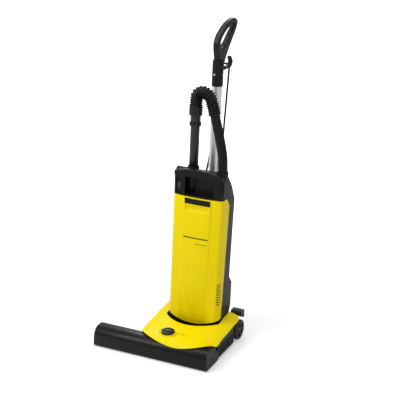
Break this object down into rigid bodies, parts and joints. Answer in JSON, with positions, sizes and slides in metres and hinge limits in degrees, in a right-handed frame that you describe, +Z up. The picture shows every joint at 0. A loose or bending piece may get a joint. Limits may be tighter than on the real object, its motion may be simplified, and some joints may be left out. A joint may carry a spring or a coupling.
{
  "type": "upright vacuum cleaner",
  "caption": "Commercial upright vacuum cleaner with a wide brush head, tilting bagged body, stored wand and hose, and a loop handle.",
  "frame": {"origin": "on the floor under the middle of the machine's length and of the brush hood's width", "axes": "+Z up, brush head towards -Y, +X to the right of a person facing the machine's front"},
  "size_m": [0.49, 0.5918, 1.2264],
  "materials": {
    "black_plastic": "fine textured black",
    "yellow_plastic": "satin yellow",
    "steel": "bright",
    "satin_tube": "satin",
    "tyre_rubber": "matt",
    "rubber": "matt",
    "bristle": "nylon",
    "bronze": "sintered",
    "bag_paper": "unbleached",
    "board": "board"
  },
  "bodies": {
    "head": {"base_chassis": "black_plastic", "brush_hood": "black_plastic", "end_cap_right": "black_plastic", "end_cap_left": "black_plastic", "sole_plate": "steel", "deck_cover": "yellow_plastic", "dial_bezel": "yellow_plastic", "side_cover": "black_plastic", "pivot_pins": "steel", "tilt_bushes": "bronze", "brush_motor_case": "black_plastic", "suction_duct": "black_plastic", "drive_belt": "rubber", "pedal_spring": "steel"},
    "brush_roll": {"brush_core": "black_plastic", "brush_bristles": "bristle", "brush_pulley": "black_plastic"},
    "motor_shaft": {"brush_motor_rotor": "steel", "motor_pulley": "steel"},
    "right_wheel": {"wheel_right": "black_plastic", "tyre_right": "tyre_rubber"},
    "left_wheel": {"wheel_left": "black_plastic", "tyre_left": "tyre_rubber"},
    "carriage": {"roller_carriage": "black_plastic"},
    "rollers": {"front_rollers": "tyre_rubber"},
    "dial": {"height_dial": "black_plastic"},
    "pedal": {"release_pedal": "black_plastic"},
    "upright": {"lower_frame": "black_plastic", "rear_housing": "black_plastic", "top_section": "black_plastic", "carry_handle": "black_plastic", "inner_partition": "black_plastic", "bag_inlet_duct": "black_plastic", "dust_bag": "bag_paper", "motor_filter": "bag_paper", "exhaust_filter": "bag_paper", "vacuum_motor_case": "black_plastic", "control_board": "board", "handle_tube": "satin_tube", "tube_clamp": "black_plastic", "grip_left": "black_plastic", "grip_right": "black_plastic", "screws": "steel", "upper_hook": "black_plastic", "lower_hook": "black_plastic", "wand_holder": "black_plastic", "hose_port": "black_plastic", "hose_pipe": "black_plastic", "suction_hose": "rubber", "cord_gland": "rubber", "mains_cord": "rubber", "cord_coil": "rubber", "mains_plug": "black_plastic"},
    "door": {"bag_door": "yellow_plastic", "door_seal": "rubber"},
    "latch": {"door_latch": "black_plastic"},
    "fan": {"vacuum_rotor": "steel"},
    "switch": {"power_switch": "black_plastic"},
    "wand": {"wand_tube": "black_plastic", "hose_cuff": "black_plastic"}
  },
  "joints": [
    {"name": "body_tilt", "type": "hinge", "parent": "head", "child": "upright", "pos_m": [0.082, -0.0585, 0.06], "axis": [-1, 0, 0], "range_deg": [0, 60]},
    {"name": "brush_spin", "type": "hinge", "parent": "head", "child": "brush_roll", "pos_m": [0, -0.2505, 0.032], "axis": [1, 0, 0], "continuous": true},
    {"name": "motor_spin", "type": "hinge", "parent": "head", "child": "motor_shaft", "pos_m": [0.19, -0.1625, 0.042], "axis": [1, 0, 0], "continuous": true},
    {"name": "right_wheel_spin", "type": "hinge", "parent": "head", "child": "right_wheel", "pos_m": [0.233, 0.0115, 0.04], "axis": [1, 0, 0], "continuous": true},
    {"name": "left_wheel_spin", "type": "hinge", "parent": "head", "child": "left_wheel", "pos_m": [-0.069, 0.0115, 0.04], "axis": [1, 0, 0], "continuous": true},
    {"name": "dial_turn", "type": "hinge", "parent": "head", "child": "dial", "pos_m": [0.041, -0.2145, 0.091], "axis": [0, 0, -1], "range_deg": [0, 180]},
    {"name": "carriage_rock", "type": "hinge", "parent": "head", "child": "carriage", "pos_m": [0.085, -0.1545, 0.022], "axis": [-1, 0, 0], "range_deg": [0, 8]},
    {"name": "roller_spin", "type": "hinge", "parent": "carriage", "child": "rollers", "pos_m": [0.085, -0.1795, 0.011], "axis": [1, 0, 0], "continuous": true},
    {"name": "pedal_press", "type": "hinge", "parent": "head", "child": "pedal", "pos_m": [0.213, 0.0265, 0.079], "axis": [-1, 0, 0], "range_deg": [0, 12], "stiffness_Nm_per_rad": 0.8, "springref_deg": -8.59},
    {"name": "door_swing", "type": "hinge", "parent": "upright", "child": "door", "pos_m": [0.082, -0.0936, 0.09156], "axis": [1, 0, 0], "range_deg": [0, 40]},
    {"name": "latch_press", "type": "slide", "parent": "door", "child": "latch", "axis": [0, 0.9953, -0.0972], "range_m": [0, 0.002], "stiffness_N_per_m": 400, "springref_m": -0.001},
    {"name": "fan_spin", "type": "hinge", "parent": "upright", "child": "fan", "pos_m": [0.082, -0.04484, 0.17924], "axis": [0, 0.0972, 0.9953], "continuous": true},
    {"name": "switch_rock", "type": "hinge", "parent": "upright", "child": "switch", "pos_m": [0.008, -0.03702, 0.63463], "axis": [1, 0, 0], "range_deg": [0, 12]},
    {"name": "wand_lift", "type": "slide", "parent": "upright", "child": "wand", "axis": [0, 0.0972, 0.9953], "range_m": [0, 0.22], "deforming": ["suction_hose"]}
  ],
  "couplings": [
    {"joint": "motor_spin", "follows": "brush_spin", "ratio": 2},
    {"joint": "carriage_rock", "follows": "dial_turn", "ratio": 0.044443}
  ]
}
